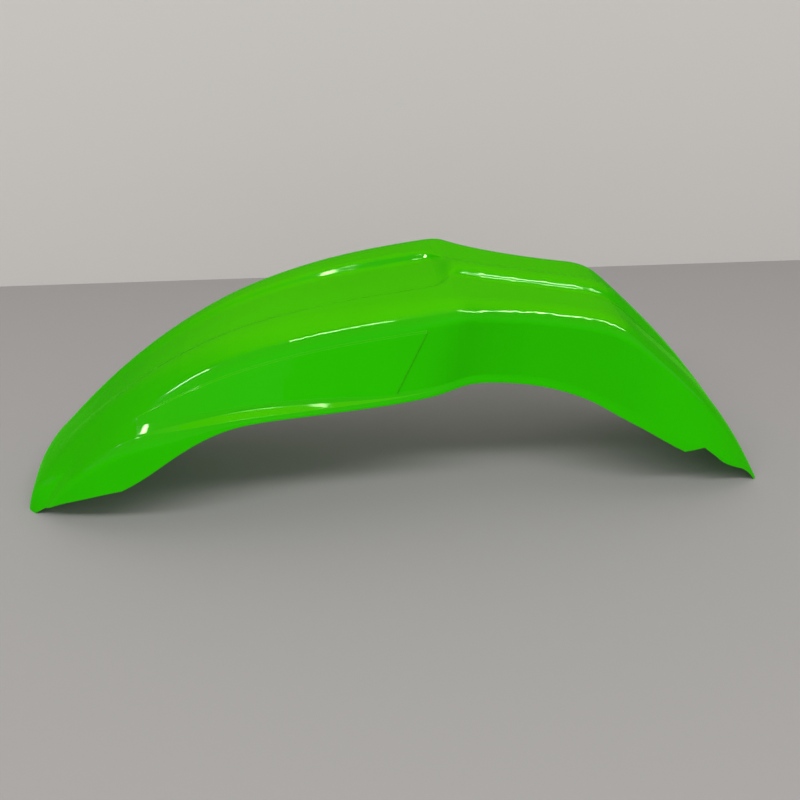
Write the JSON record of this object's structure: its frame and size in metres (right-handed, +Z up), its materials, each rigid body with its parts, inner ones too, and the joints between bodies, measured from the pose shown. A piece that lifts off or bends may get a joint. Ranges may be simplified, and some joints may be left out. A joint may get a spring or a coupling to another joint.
{
  "type": "motorcycle front mudguard",
  "caption": "Moulded off-road front mudguard: long arched shell with a shallow front channel, bolt-down lands beside a raised bead, narrow waist and flared tail",
  "frame": {"origin": "on the floor under the middle of the overall box, with the mudguard standing on its nose and tail", "axes": "+X runs back to the tail, +Z is up, and Y runs across; the XZ plane is the mirror plane"},
  "size_m": [0.7302, 0.2262, 0.2252],
  "materials": {
    "plastic": "gloss"
  },
  "bodies": {
    "root": {"mudguard": "plastic"}
  },
  "joints": []
}
